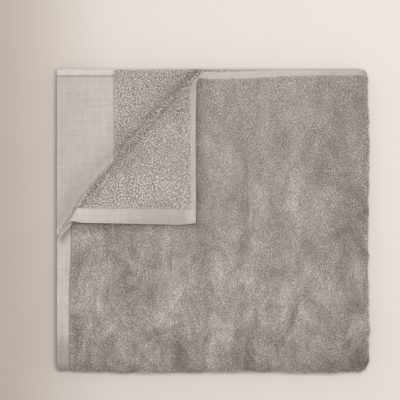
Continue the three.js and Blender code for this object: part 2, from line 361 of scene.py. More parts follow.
def section_pieces():
    """Straight runs and half-round bends of the crosswise section, in order along the cloth."""
    runs = [dict(zip(RUN_COLUMNS, row)) for row in RUNS]
    pieces, start = [], 0.0
    for run, following in zip(runs, [*runs[1:], None]):
        heading = math.copysign(1, run["end_x"] - run["start_x"])
        end = start + abs(run["end_x"] - run["start_x"])
        pieces.append({"start": start, "end": end, "run": run, "next": None, "heading": heading})
        if following:
            start, radius = end, (following["level"] - run["level"]) * PITCH / 2
            end = start + math.pi * abs(radius)
            bend = {"start": start, "end": end, "run": run, "next": following, "radius": radius}
            pieces.append({**bend, "heading": heading})
        start = end
    return pieces, start


SECTION, CLOTH_LENGTH = section_pieces()
CLOTH_WIDTH = 2 * FAR_RUN + FOLD_TAKE_UP
TOP, RIGHT_TURN, SECOND, LEFT_TURN, THIRD, INNER_TURN, BENEATH = SECTION


def section_at(s):
    """Where the crosswise section puts the lines of cloth at s, with the direction of its outer face."""
    place = {key: np.zeros_like(s) for key in ("x", "z", "face_x", "face_z", "far_inset", "near_inset")}
    for piece in SECTION:
        here = s >= piece["start"]
        run, heading = piece["run"], piece["heading"]
        along = s[here] - piece["start"]
        if piece["next"] is None:
            share, end = 0, run
            found = {
                "x": run["start_x"] + heading * along,
                "z": run["level"] * PITCH,
                "face_x": 0,
                "face_z": heading,
            }
        else:
            radius, size = piece["radius"], abs(piece["radius"])
            turn = along / size
            share, end = turn / np.pi, piece["next"]
            found = {
                "x": run["end_x"] + heading * size * np.sin(turn),
                "z": run["level"] * PITCH + radius * (1 - np.cos(turn)),
                "face_x": -math.copysign(1, radius) * np.sin(turn),
                "face_z": heading * np.cos(turn),
            }
        for key in ("far_inset", "near_inset"):
            found[key] = run[key] + share * (end[key] - run[key])
        for key, value in found.items():
            place[key][here] = value
    return place


def roll_at(along):
    """The corner roll's values at places along its line."""
    return {key: table_at(CORNER_ROLL, ROLL_COLUMNS, along, key) for key in ROLL_COLUMNS[1:]}


def roll_curve(roll, past, lift):
    """Place and height of the turned-back cloth, past distance beyond the base line."""
    turn = np.pi * np.clip(past / roll["take_up"], 0, 1)
    beyond = np.maximum(past - roll["take_up"], 0)
    settle_run = SETTLE_START + SETTLE_PER_RISE * (roll["height"] - FLAP_REST)
    up = roll["height"] * (1 - np.cos(turn)) / 2
    up += (FLAP_REST - roll["height"]) * ease(beyond / settle_run) + lift * ease(beyond / LIFT_START)
    return beyond - roll["reach"] * np.sin(turn), up


def past_base(x, y):
    """How far beyond the corner roll's base line a spot lies in the cloth."""
    along, across = diagonal(x, y)
    return roll_at(along)["base"] - across


def turn_corner(x, y, offset):
    """Where spots of the top lie with its corner turned back: x, y and the height above their layer."""
    along, across = diagonal(x, y)
    roll = roll_at(along)
    past = roll["base"] - across
    from_end, from_side = x + HALF_SPAN, HALF_DEPTH - y
    lift = FLAP_EDGE_LIFT * (1 - ease(np.minimum(from_end, from_side) / FLAP_EDGE_REACH))
    out, up = roll_curve(roll, past, lift)
    ahead, back = (roll_curve(roll, past + step, lift) for step in (SMALL_STEP, -SMALL_STEP))
    run, climb = ahead[0] - back[0], ahead[1] - back[1]
    size = np.maximum(np.hypot(run, climb), TINY)
    turned = ease(past / (roll["take_up"] + DRIFT_RUN))
    drift = CORNER_DRIFT * between(along, DRIFT_START, DRIFT_FULL) * turned
    moved_x, moved_y = diagonal(along - drift, roll["base"] + out + offset * (climb / size))
    sway = table_at(HEM_SWAY, HEM_SWAY_COLUMNS, from_side, "rise")
    moved_y += sway * turned * (1 - ease(from_end / SWAY_REACH))
    flat, height = past <= 0, up - offset * (run / size)
    return np.where(flat, x, moved_x), np.where(flat, y, moved_y), np.where(flat, offset, height)


def creases(x, y):
    """Soft troughs and ridges of the top, by their lines seen from above."""
    rise = np.zeros_like(x)
    for row in CREASES:
        crease = dict(zip(CREASE_COLUMNS, row))
        from_x, from_y = x - crease["from_x"], y - crease["from_y"]
        line = np.array([crease["to_x"] - crease["from_x"], crease["to_y"] - crease["from_y"]])
        length = np.linalg.norm(line)
        line_x, line_y = line / length
        along = from_x * line_x + from_y * line_y
        aside = from_x * line_y - from_y * line_x
        taper = CREASE_TAPER * length
        ends = ease(along / taper) * ease((length - along) / taper)
        rise += crease["height"] * ends * np.exp(-((aside / crease["width"]) ** 2))
    for row in RELIEF:
        swell = dict(zip(RELIEF_COLUMNS, row))
        angle = math.radians(swell["heading"])
        place = x * math.cos(angle) + y * math.sin(angle)
        rise += swell["height"] * np.sin(2 * np.pi * place / swell["length"] + swell["phase"])
    return rise


def lumps(along, up):
    """Unevenness of the soft folds."""
    size = np.zeros_like(along)
    for length, height, phase in LUMPS:
        size += height * np.sin(2 * np.pi * along / length + phase + up / LUMP_SLANT)
    return size


def settle(x, y, z):
    """How the folded stack settles: its thickness, its uneven top, its wavy folds and its rounded corners."""
    share = 1 - LEFT_THINNING * (1 - ease((x + HALF_SPAN) / LEFT_THIN_REACH))
    share -= FAR_THINNING * (1 - ease((HALF_DEPTH - y) / FAR_THIN_REACH))
    for length, heading, size in TOP_WAVES:
        angle = math.radians(heading)
        share += size * wave(x * math.cos(angle) + y * math.sin(angle), length)
    (short, low), (long, high) = EDGE_WAVES
    sideways = low * wave(y + 2 * z, short) + high * wave(y - z, long)
    lengthways = low * wave(x - 2 * z, short) + high * wave(x + z, long)
    out_x = x + sideways * ease((x - HALF_SPAN + EDGE_FADE) / EDGE_FADE)
    out_y = y + lengthways * ease((-HALF_DEPTH + EDGE_FADE - y) / EDGE_FADE)
    out_x += lumps(y, z) * ease((x - HALF_SPAN + LUMP_REACH) / LUMP_REACH)
    out_y += lumps(x + LUMP_SHIFT, z) * ease((-HALF_DEPTH + LUMP_REACH - y) / LUMP_REACH)
    for corner_x, corner_y, radius in CORNERS:
        into = np.clip((corner_y * y - HALF_DEPTH + radius) / radius, 0, 1)
        pull = radius * (1 - np.sqrt(1 - into**2 * CORNER_SOFTNESS)) * CORNER_PULL
        out_x -= corner_x * pull * ease((corner_x * x - HALF_SPAN + EDGE_FADE) / EDGE_FADE)
    height = z * share + creases(x, y) * ease((z - STACK_HEIGHT) / STACK_HEIGHT)
    return np.column_stack([out_x, out_y, height]) * MM


def top_inset(x, t):
    """How far the top layer's far half is drawn in from the far edge, more beside the turned corner."""
    pull = between(x, PULL_FROM, PULL_FULL) * (1 - between(x, PULL_FULL, PULL_TO))
    return (TOP["run"]["far_inset"] + PULL_SIZE * pull) * (1 - ease(t / INSET_REACH))


def towel_points(s, t, offset):
    """Points of the towel in metres: s along the cloth, t across it, offset towards its outer face."""
    s, t, offset = (np.array(v, float) for v in np.broadcast_arrays(s, t, offset))
    cut = section_at(s)
    turn = np.pi * np.clip((t - FAR_RUN) / FOLD_TAKE_UP, 0, 1)
    far = t <= FAR_RUN
    y = HALF_DEPTH - np.minimum(t, FAR_RUN) + np.maximum(0, t - FAR_RUN - FOLD_TAKE_UP)
    corner = (s < TOP["end"]) & far
    inset = np.where(far, cut["far_inset"], cut["near_inset"]) * (1 - ease(from_sides(t) / INSET_REACH))
    y -= np.where(corner, top_inset(cut["x"], t), inset)
    x = cut["x"] + cut["face_x"] * offset
    rise = cut["z"] + cut["face_z"] * offset
    moved = turn_corner(x[corner], y[corner], offset[corner])
    x[corner], y[corner] = moved[0], moved[1]
    rise[corner] = cut["z"][corner] + moved[2]
    y -= FOLD_REACH * rise * np.sin(turn)
    return settle(x, y, STACK_HEIGHT + rise * np.cos(turn) - UNDERSIDE)


def plan_place(s, t):
    """Where a spot of the top or the layer beneath lies in the cloth's own plan, before its corner turns."""
    return section_at(s)["x"], HALF_DEPTH - t


def side_hem(s, t):
    """Width of the side hem: wider beside the turned corner and on the band, narrower on the corner."""
    x = section_at(s)["x"]
    spread = TOP_HEM_SPREAD * between(x, *TOP_HEM_WIDENS) * (1 - between(x, *TOP_HEM_NARROWS))
    spread -= CORNER_HEM_LESS * (1 - between(x, *CORNER_HEM_WIDENS))
    top = (s < TOP["end"]) & (t < FAR_RUN)
    band = (CLOTH_LENGTH - s < END_BAND + BAND_MARGIN) & (t < FAR_RUN)
    return SIDE_HEM + np.where(top, spread, np.where(band, BAND_HEM_SPREAD, 0))


def end_spread(t):
    """How much wider the top layer's end hem is at the turned corner than at its plain end."""
    return END_HEM_SPREAD * (1 - between(t, *END_HEM_NARROWS))


def beside_end_hem(s, t):
    """Where a line beside the end hem lies, because it follows the hem's width."""
    return s + end_spread(t) * np.interp(s, (0, END_HEM, END_SHIFT_REACH), (0, 1, 0))


def beside_side_hem(s, t):
    """Where a line beside a side hem lies, because it follows the hem's width."""
    share = np.interp(from_sides(t), (0, SIDE_HEM, SIDE_SHIFT_REACH), (0, 1, 0))
    shift = (side_hem(s, t) - SIDE_HEM) * share
    return t + np.where(t < CLOTH_WIDTH / 2, shift, -shift)


def in_pile(s, t):
    """From 0 on the flat-woven hems and band to 1 where the pile is full, which covers the hem beneath."""
    past_band = CLOTH_LENGTH - s - END_BAND
    beneath = (s > BENEATH["start"]) & (CLOTH_LENGTH - s > END_BAND + BAND_MARGIN) & (t < FAR_RUN)
    past_side = from_sides(t) - np.where(beneath, COVERED_HEM, side_hem(s, t))
    inside = np.minimum(np.minimum(s - END_HEM - end_spread(t), past_band), past_side)
    return np.clip(inside / PILE_RAMP, 0, 1)


def looped(s, t, face):
    """Where pile loops stand on a face of the cloth, because that face shows."""
    x, y = plan_place(s, t)
    past, top, far = past_base(x, y), s < TOP["end"], t < FAR_RUN
    right = (s >= RIGHT_TURN["start"] - RIGHT_TURN_MARGIN) & (s <= RIGHT_TURN["end"])
    left = (s >= LEFT_TURN["start"] - LEFT_TURN_MARGIN) & (s <= LEFT_TURN["end"] + LEFT_TURN_MARGIN)
    if face > 0:
        covered = (x < COVERED_CORNER[0]) & (y > COVERED_CORNER[1])
        from_fold = t - FAR_RUN - FOLD_TAKE_UP
        rim = (x > RIGHT_BEND - UNDER_RIM) | (from_fold < UNDER_RIM)
        fold = top & ~far & (from_fold <= 0)
        under = top & (from_fold > 0) & rim
        shown = (top & far & ~covered & (past < OUTER_PAST_ROLL)) | fold | under | right | left
    else:
        beneath = (s > BENEATH["start"]) & (past > BENEATH_PAST_ROLL)
        shown = ((top & (past > INNER_PAST_ROLL)) | beneath) & far
    return shown & (in_pile(s, t) > LEAST_PILE)


def half_thickness(s, t, face):
    """Half the cloth's thickness: thinner under loops, rounded at the rim and drawn in along the seams."""
    flat = np.where(CLOTH_LENGTH - s < END_BAND + PILE_RAMP, BAND_THICKNESS, HEM_THICKNESS) / 2
    full = np.where(looped(s, t, face), GROUND, PILE_THICKNESS / 2)
    half = flat + (full - flat) * in_pile(s, t)
    for distance in seam_distances(s, t):
        half = half - SEAM_DIP * np.exp(-((distance / SEAM_WIDTH) ** 2))
    to_rim = np.minimum(np.minimum(s, CLOTH_LENGTH - s), from_sides(t))
    return half * np.sqrt(1 - (1 - np.clip(to_rim / RIM_ROUND, RIM_LEAST, 1)) ** 2)


def top_shade(x, y):
    """Painted shade of the top: beside the turned corner, at the mouth of its roll and towards the folded
    edges.
    """
    away = np.hypot(np.maximum(0, x - FLAP_SIDE), np.maximum(0, FLAP_END - y))
    shade = 1 - FLAP_SHADE * np.exp(-away / FLAP_SHADE_REACH)
    from_x, from_y, to_x, to_y = ROLL_MOUTH
    length = math.hypot(to_x - from_x, to_y - from_y)
    along = np.clip(((x - from_x) * (to_x - from_x) + (y - from_y) * (to_y - from_y)) / length**2, 0, 1)
    aside = np.hypot(x - from_x - along * (to_x - from_x), y - from_y - along * (to_y - from_y))
    shade -= ROLL_MOUTH_SHADE * np.exp(-((aside / ROLL_MOUTH_REACH) ** 2))
    for place, rows in ((x, RIGHT_SHADES), (y, NEAR_SHADES)):
        for row in rows:
            shade -= growing(place, *row)
    return shade


def beside_roll(x, y):
    """Painted shade and light of the inner face along the corner's roll: a soft shaded valley, a lit ridge
    and a dark line beside it.
    """
    along, across = diagonal(x, y)
    roll = roll_at(along)
    from_roll = across - roll["base"] + roll["reach"]
    shade = np.ones_like(x)
    for row in ROLL_SHADES:
        dark = dict(zip(ROLL_SHADE_COLUMNS, row))
        here = growing(along, dark["amount"], dark["starts"], dark["full"])
        shade -= here * np.exp(-(((from_roll - dark["away"]) / dark["reach"]) ** 2))
    return shade


def cloth_shade(s, t, face, points):
    """Painted shade and painted light on one face of the cloth, with its doubled hem lighter too."""
    seen_x, seen_y = points[:, 0] / MM, points[:, 1] / MM
    from_side, hem, end_hem = from_sides(t), side_hem(s, t), END_HEM + end_spread(t)
    if face > 0:
        top = (s < RIGHT_TURN["end"]) & (past_base(*plan_place(s, t)) < 0)
        shade = np.where(top, top_shade(seen_x, seen_y), 1.0)
        shade = np.where(top & (s < end_hem), shade - growing(seen_y, *NEAR_END_FADE), shade)
        sunk = s - end_hem + EDGE_GAP
    else:
        top, far, band = s < TOP["end"], t < FAR_RUN, CLOTH_LENGTH - s < END_BAND
        inner = ((s > BENEATH["start"]) | top) & far
        shade = np.where(inner, beside_roll(seen_x, seen_y), 1.0)
        turned = top & far & (in_pile(s, t) < 0.5)
        shade = np.where(turned, shade * TURNED_HEM, shade)
        lit = TURNED_END_HEM - growing(seen_x, *TURNED_END_FADE) - RIM_FADE * (1 - s / end_hem)
        shade = np.where(turned & (s < end_hem), lit + growing(from_side, *TURNED_CORNER), shade)
        shade = np.where(band & (from_side > hem), shade - growing(seen_x, *BAND_FADE), shade)
        # The band's side hem is lighter as doubled cloth, and with painted light
        shade = np.where(band & (from_side < hem), shade * DOUBLED_LIT_HEM, shade)
        sunk = np.where(band, from_side - hem, NO_SEAM)
    return shade * (1 - SEAM_SHADE * np.exp(-((sunk / SEAM_SHADE_REACH) ** 2)))


def seam_distances(s, t):
    """Distances from the seams of the end hem, the band's own hem and the side hems."""
    return (
        s - END_HEM - end_spread(t) + SEAM_INSET,
        CLOTH_LENGTH - s - END_HEM + SEAM_INSET,
        from_sides(t) - side_hem(s, t) + SEAM_INSET,
    )


def stretch(start, end, step):
    """Evenly spaced lines from start up to end, about step apart."""
    return list(np.linspace(start, end, max(1, round((end - start) / step)), endpoint=False))


def hem_lines(width):
    """Distances from a rim for lines that round it and show its seam."""
    by_seam = [width - SEAM_INSET + away for away in SEAM_LINES]
    lines = [*RIM_LINES, *stretch(FIRST_HEM_LINE, by_seam[0], HEM_GRID), *by_seam]
    return [*lines, width - EDGE_GAP, width, width + PILE_RAMP]


def cloth_lines():
    """Lines of the cloth's mesh, along and across it: close together where the cloth shows or bends."""
    along = hem_lines(END_HEM) + stretch(PAST_END_HEM, TOP["end"], GRID)
    for turn, steps in ((RIGHT_TURN, 14), (LEFT_TURN, 8), (INNER_TURN, 6)):
        along += stretch(turn["start"], turn["end"], (turn["end"] - turn["start"]) / steps)
    for run in (SECOND, THIRD):
        along += stretch(run["start"], run["end"], HIDDEN_GRID)
    shown, band = CLOTH_LENGTH - BENEATH_SHOWN, CLOTH_LENGTH - END_BAND
    along += stretch(BENEATH["start"], shown, BENEATH_GRID) + stretch(shown, band - BEFORE_BAND, GRID)
    along += stretch(band - BAND_START, CLOTH_LENGTH - PAST_END_HEM, GRID)
    along += [CLOTH_LENGTH - away for away in hem_lines(END_HEM)]
    across = hem_lines(SIDE_HEM) + stretch(PAST_SIDE_HEM, FAR_RUN, GRID)
    across += stretch(FAR_RUN, FOLD_END, FOLD_GRID)
    across += stretch(FOLD_END, CLOTH_WIDTH - PAST_SIDE_HEM, UNDER_GRID)
    across += [CLOTH_WIDTH - away for away in hem_lines(SIDE_HEM)]
    return np.unique(np.round(along, 4)), np.unique(np.round(across, 4))


def flat_cloth():
    """The cloth's flat mesh, with extra cuts along the corner roll: places (s, t), faces and rim edges."""
    along, across = cloth_lines()
    flat = bmesh.new()
    all_s, all_t = np.meshgrid(along, across, indexing="ij")
    all_s, all_t = beside_end_hem(all_s, all_t), beside_side_hem(all_s, all_t)
    grid = [[flat.verts.new((s, t, 0)) for s, t in zip(*row)] for row in zip(all_s, all_t)]
    for i in range(len(along) - 1):
        for j in range(len(across) - 1):
            flat.faces.new((grid[i][j], grid[i + 1][j], grid[i + 1][j + 1], grid[i][j + 1]))
    # Cuts along the corner roll's line, so that its tight bend comes out round
    for across_roll in np.concatenate([np.arange(*span) for span in ROLL_CUTS]):
        place = (HALF_SPAN + HALF_DEPTH + math.sqrt(2) * across_roll) / 2
        geometry = {}
        for face in flat.faces:
            middle = face.calc_center_median()
            if max(middle[:]) < FLAP_REACH and abs(middle.x + middle.y - 2 * place) < CUT_REACH:
                geometry.update(dict.fromkeys((face, *face.edges, *face.verts)))
        bmesh.ops.bisect_plane(
            flat, geom=list(geometry), dist=CUT_SNAP, plane_co=(place, place, 0), plane_no=(1, 1, 0)
        )
    bmesh.ops.triangulate(flat, faces=[face for face in flat.faces if len(face.verts) > 4])
    flat.verts.index_update()
    places = np.array([vertex.co[:2] for vertex in flat.verts])
    faces = [[vertex.index for vertex in face.verts] for face in flat.faces]
    # Rim edges run the way their faces do, so that the wall between the two sides faces outward
    rim = [tuple(vertex.index for vertex in edge.verts) for edge in flat.edges if edge.is_boundary]
    headings = {pair for face in faces for pair in zip(face, face[1:] + face[:1])}
    flat.free()
    return places, faces, [pair if pair in headings else pair[::-1] for pair in rim]


def add_piece(name, mesh):
    """A piece for a finished mesh, at the origin, that rides on the towel's body."""
    piece = bpy.data.objects.new(name, mesh)
    bpy.context.scene.collection.objects.link(piece)
    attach(piece, "root")
    return piece


def add_values(mesh, name, values):
    """An attribute with one number for each point."""
    mesh.attributes.new(name, "FLOAT", "POINT").data.foreach_set("value", values.astype(np.float32).ravel())


def add_uv(piece, name, uv):
    """A UV map with one place for each corner of the piece's faces."""
    layer = piece.data.uv_layers.new(name=name)
    layer.data.foreach_set("uv", np.ascontiguousarray(uv, np.float32).ravel())


def finish_material(name, colour, roughness=0.95, sheen=0.25):
    """A cloth material with its shader, ready for the nodes of its own pattern."""
    material = bpy.data.materials.new(name)
    material.use_nodes = True
    shader = material.node_tree.nodes["Principled BSDF"]
    finish = {
        "Base Color": (*colour, 1),
        "Roughness": roughness,
        "Specular IOR Level": 0.2,
        "Sheen Weight": sheen,
        "Sheen Roughness": 0.6,
    }
    for key, value in finish.items():
        shader.inputs[key].default_value = value
    return material, material.node_tree, shader


def add_node(tree, kind, values=(), **settings):
    """A node with its settings, and values or links for its inputs by name or number."""
    node = tree.nodes.new(kind)
    for key, value in settings.items():
        setattr(node, key, value)
    for key, value in dict(values).items():
        if isinstance(value, bpy.types.NodeSocket):
            tree.links.new(value, node.inputs[key])
        else:
            node.inputs[key].default_value = value
    return node


def add_math(tree, operation, *values):
    """What a Math node gives for its values or links."""
    return add_node(tree, "ShaderNodeMath", enumerate(values), operation=operation).outputs[0]


def add_range(tree, value, low, high, start=0.0, end=1.0, **settings):
    """A value spread anew: low where it is start, high where it is end, and held beyond them."""
    spans = {"From Min": start, "From Max": end, "To Min": low, "To Max": high}
    return add_node(tree, "ShaderNodeMapRange", {"Value": value, **spans}, **settings).outputs["Result"]


def add_noise(tree, place, scale, **values):
    """Soft random pattern at a scale, with the noise node's other values by name."""
    named = {key.title(): value for key, value in values.items()}
    noise = add_node(tree, "ShaderNodeTexNoise", {"Vector": place, "Scale": scale, **named})
    return noise.outputs["Fac"]


def add_mapping(tree, place, **values):
    """Coordinates stretched or turned."""
    named = {key.title(): value for key, value in values.items()}
    return add_node(tree, "ShaderNodeMapping", {"Vector": place, **named}).outputs["Vector"]


def add_attribute(tree, name):
    """The numbers of one of the mesh's attributes."""
    return add_node(tree, "ShaderNodeAttribute", attribute_name=name).outputs["Fac"]


def object_place(tree):
    """Object coordinates."""
    return add_node(tree, "ShaderNodeTexCoord").outputs["Object"]


def one_axis(tree, place, axis):
    """One coordinate of a place."""
    return add_node(tree, "ShaderNodeSeparateXYZ", {0: place}).outputs[axis]


def shade_colour(tree, shader, colour, value):
    """Base colour: a colour made lighter or darker by a value."""
    tinted = add_node(tree, "ShaderNodeHueSaturation", {"Value": value, "Color": colour})
    tree.links.new(tinted.outputs["Color"], shader.inputs["Base Color"])


def add_bumps(tree, shader, *layers):
    """Fine relief: each layer's height, strength and depth in metres, on top of the layer before it."""
    beneath = {}
    for height, strength, depth in layers:
        values = {"Height": height, "Strength": strength, "Distance": depth, **beneath}
        beneath = {"Normal": add_node(tree, "ShaderNodeBump", values).outputs["Normal"]}
    tree.links.new(beneath["Normal"], shader.inputs["Normal"])


def lay_light_group():
    """Painted light and shade of soft areas where the pile lies one way or the other, strongest at the near
    edge.
    """
    group = bpy.data.node_groups.new(LAY_LIGHT_GROUP, "ShaderNodeTree")
    sockets = (
        ("Colour", "INPUT", "NodeSocketColor"),
        ("Strength", "INPUT", "NodeSocketFloat"),
        ("Scale", "INPUT", "NodeSocketFloat"),
        ("Colour", "OUTPUT", "NodeSocketColor"),
    )
    for name, way, kind in sockets:
        group.interface.new_socket(name=name, in_out=way, socket_type=kind)
    start, end = group.nodes.new("NodeGroupInput"), group.nodes.new("NodeGroupOutput")
    place = object_place(group)
    drawn = add_mapping(group, place, scale=(1.0, 0.55, 1.0))
    broad = add_noise(group, drawn, start.outputs["Scale"], detail=6.0, roughness=0.78, distortion=0.5)
    centred = add_math(group, "SUBTRACT", add_range(group, broad, 0.0, 1.0, start=0.3, end=0.7), 0.5)
    growth = add_range(group, one_axis(group, place, "Y"), 1.35, 0.55, start=-0.15, end=0.15)
    strength = add_math(group, "MULTIPLY", growth, start.outputs["Strength"])
    change = add_math(group, "MULTIPLY", centred, strength)
    value = add_math(group, "ADD", change, 1.0)
    # Brighter painted areas are also less saturated
    warmth = add_math(group, "MULTIPLY_ADD", change, -0.69, 1.0)
    tinted = add_node(
        group,
        "ShaderNodeHueSaturation",
        {"Saturation": warmth, "Value": value, "Color": start.outputs["Colour"]},
    )
    group.links.new(tinted.outputs["Color"], end.inputs["Colour"])
    return group


def lay_light_colour(tree, colour, scale, strength):
    """A yarn's colour with the painted light and shade of the lay group."""
    group = bpy.data.node_groups.get(LAY_LIGHT_GROUP) or lay_light_group()
    values = {"Colour": (*colour, 1), "Strength": strength, "Scale": scale}
    return add_node(tree, "ShaderNodeGroup", values, node_tree=group).outputs["Colour"]


def pile_material(name, colour, lay):
    """Cotton yarn of the pile loops: painted shade darker at its foot, with a twist along it."""
    material, tree, shader = finish_material(name, colour)
    # Painted shade at each loop's foot, times the loop's tint with its painted light and shade
    shade = add_range(tree, add_attribute(tree, "yarn"), 0.72, 1.03, end=0.9)
    value = add_math(tree, "MULTIPLY", shade, add_attribute(tree, "tint"))
    shade_colour(tree, shader, lay_light_colour(tree, colour, *lay), value)
    yarn = add_node(tree, "ShaderNodeUVMap", uv_map="Yarn").outputs["UV"]
    values = {"Vector": yarn, "Scale": 1.6, "Distortion": 1.0}
    twist = add_node(tree, "ShaderNodeTexWave", values, bands_direction="DIAGONAL")
    add_bumps(tree, shader, (twist.outputs["Fac"], 0.4, 0.00015))
    return material


def ground_material(name, colour, lay):
    """The pile between the larger loops: small rounded loops close together, with painted shade between them
    and under the larger loops.
    """
    material, tree, shader = finish_material(name, colour)
    values = {"Vector": object_place(tree), "Scale": 620.0, "Randomness": 0.9}
    small = add_node(tree, "ShaderNodeTexVoronoi", values, feature="F1")
    mound = add_range(tree, small.outputs["Distance"], 1.0, 0.0, end=0.8)
    # Painted shade between the small loops, and the cloth's painted shade and light
    value = add_math(tree, "MULTIPLY", add_range(tree, mound, 0.5, 0.92), add_attribute(tree, "shade"))
    shade_colour(tree, shader, lay_light_colour(tree, colour, *lay), value)
    add_bumps(tree, shader, (mound, 1.0, 0.001))
    return material


def flat_material(colour):
    """Flat plain weave of the hems and the band: fine crossing threads, of uneven yarn."""
    material, tree, shader = finish_material("Flat Weave", colour, sheen=0.1)
    cloth = add_node(tree, "ShaderNodeUVMap", uv_map="Cloth").outputs["UV"]
    threads, uneven = [], []
    for direction, scale, drawn in (("X", 420.0, (270.0, 24.0, 1.0)), ("Y", 520.0, (24.0, 270.0, 1.0))):
        values = {"Vector": cloth, "Scale": scale, "Distortion": 0.6, "Detail": 1.0}
        thread = add_node(tree, "ShaderNodeTexWave", values, bands_direction=direction)
        threads.append(thread.outputs["Fac"])
        uneven.append(add_noise(tree, add_mapping(tree, cloth, scale=drawn), 1.0, detail=3.0))
    weave = add_math(tree, "MULTIPLY", *threads)
    streaks = add_range(tree, add_math(tree, "ADD", *uneven), 0.93, 1.07, start=0.7, end=1.3)
    woven = add_math(tree, "MULTIPLY", add_range(tree, weave, 0.9, 1.06), streaks)
    # The cloth's painted shade and painted light on the weave
    value = add_math(tree, "MULTIPLY", woven, add_attribute(tree, "shade"))
    shade_colour(tree, shader, lay_light_colour(tree, colour, *FLAT_LAY_LIGHT), value)
    puckers = add_noise(tree, cloth, 170.0, detail=2.0)
    add_bumps(tree, shader, (puckers, 0.8, 0.0012), (weave, 0.5, 0.0002))
    return material


def thread_material(colour):
    """Sewing thread, smoother than the cloth."""
    material, tree, shader = finish_material("Sewing Thread", colour, roughness=0.7, sheen=0.1)
    fibres = add_noise(tree, object_place(tree), 1500.0)
    shade_colour(tree, shader, (*colour, 1), add_range(tree, fibres, 0.85, 1.1))
    return material


def floor_material(colour, shade):
    """Plain pale floor with painted shade: it darkens slowly across, and more and warmer to the left."""
    material = bpy.data.materials.new("Floor")
    material.use_nodes = True
    tree = material.node_tree
    shader = tree.nodes["Principled BSDF"]
    shader.inputs["Roughness"].default_value = 0.9
    place = object_place(tree)
    slanted = add_mapping(tree, place, rotation=(0, 0, math.radians(-36)))
    value = add_range(tree, one_axis(tree, slanted, "X"), 0.85, 1.0, start=-0.25, end=0.25)
    left = one_axis(tree, place, "X")
    side = add_range(tree, left, 0.0, 1.0, start=-0.27, end=-0.1, interpolation_type="SMOOTHSTEP")
    colours = {0: side, 6: (*shade, 1), 7: (*colour, 1)}
    mixed = add_node(tree, "ShaderNodeMix", colours, data_type="RGBA")
    shade_colour(tree, shader, mixed.outputs[2], value)
    return material


def modelled_shape():
    """Takes the active object's mesh as a shape to copy, and removes the object: points and faces."""
    shape = bpy.context.active_object
    if bpy.context.mode == "EDIT_MESH":
        bpy.ops.object.mode_set(mode="OBJECT")
    points = np.array([vertex.co for vertex in shape.data.vertices])
    faces = [list(face.vertices) for face in shape.data.polygons]
    bpy.data.objects.remove(shape)
    return points, faces


def loop_shape():
    """One pile loop: a three-sided yarn of radius 1 bent to a half circle, with its feet at height 0."""
    bpy.ops.object.select_all(action="DESELECT")
    bpy.ops.mesh.primitive_circle_add(
        vertices=3, radius=1, fill_type="NGON", enter_editmode=True, location=(0, 0, 0)
    )
    bpy.ops.transform.translate(value=(LOOP_RADIUS, 0, 0))
    bpy.ops.mesh.spin(steps=LOOP_STEPS, angle=math.pi, center=(0, 0, 0), axis=(0, 1, 0))
    bpy.ops.mesh.select_all(action="SELECT")
    bpy.ops.mesh.normals_make_consistent(inside=False)
    return modelled_shape()


def loop_cells(points, faces):
    """Places of a loop's faces in its own square: along the yarn and around it."""
    arch = np.arctan2(points[:, 2], points[:, 0]) / np.pi
    outward = np.hypot(points[:, 0], points[:, 2]) - LOOP_RADIUS
    around = np.arctan2(points[:, 1], outward) / (2 * np.pi) + 0.5
    cells = []
    for face in faces:
        u, v = arch[face].clip(0, 1), around[face].copy()
        if v.max() - v.min() > 0.5:
            v[v < 0.5] += 1
        if len(face) == 3 and np.ptp(u) < 0.01:
            u = (0 if u[0] < 0.5 else 1 - CUT_END) + np.array([0, CUT_END, CUT_END])
        else:
            u = YARN_MARGIN + (1 - 2 * YARN_MARGIN) * u
        cells.append(np.stack([u, v * AROUND_YARN], 1))
    return cells


def even_places(path, start, end, spacing):
    """Places from start to end that lie evenly apart on the towel."""
    fine = np.linspace(start, end, PATH_STEPS)
    steps = np.linalg.norm(np.diff(path(fine), axis=0), axis=1) / MM
    length = np.concatenate([[0], np.cumsum(steps)])
    count = max(1, int(length[-1] / spacing))
    return np.interp((np.arange(count) + 0.5) / count * length[-1], length, fine)


def scattered_places(patch, rng):
    """Places of the loops on a patch of the cloth, in uneven rows."""
    s0, s1, t0, t1, face = (patch[key] for key in ("s_from", "s_to", "t_from", "t_to", "face"))
    crest = face * PILE_THICKNESS / 2
    middle_s, middle_t = patch["middle"] or ((s0 + s1) / 2, (t0 + t1) / 2)
    along = even_places(lambda v: towel_points(v, middle_t, crest), s0, s1, patch["spacing"])
    across = even_places(lambda v: towel_points(middle_s, v, crest), t0, t1, patch["spacing"] * ROW_STEP)
    s, t = np.meshgrid(along, across, indexing="ij")
    s[:, 1::2] += (s1 - s0) / len(along) / 2
    s += rng.uniform(-SCATTER, SCATTER, s.shape) * (s1 - s0) / len(along)
    t += rng.uniform(-SCATTER, SCATTER, t.shape) * (t1 - t0) / len(across)
    s, t = s.ravel(), t.ravel()
    s, t = beside_end_hem(s, t), beside_side_hem(s, t)
    keep = (s > s0) & (s < s1) & (t < t1) & looped(s, t, face)
    return s[keep], t[keep]


def smooth_noise(points, length, rng):
    """Soft random field of about that length over the plan, from a few crossing waves."""
    x, y = points[:, 0] / MM, points[:, 1] / MM
    field = np.zeros_like(x)
    for _ in range(NOISE_WAVES):
        angle, phase = rng.uniform(0, 2 * np.pi, 2)
        size = length * rng.uniform(*NOISE_LENGTHS)
        field += np.sin(2 * np.pi * (x * math.cos(angle) + y * math.sin(angle)) / size + phase)
    return field / NOISE_LEVEL


def unit(vectors):
    """The same directions with length 1."""
    return vectors / np.maximum(np.linalg.norm(vectors, axis=-1, keepdims=True), TINY)


def varied(rng, count, spread):
    """Random sizes round 1, from their spread, their least and their most."""
    share, least, most = spread
    return rng.normal(1, share, count).clip(least, most)


def heading_at(side, onward, angle):
    """Directions at an angle from side towards onward."""
    return side * np.cos(angle)[:, None] + onward * np.sin(angle)[:, None]


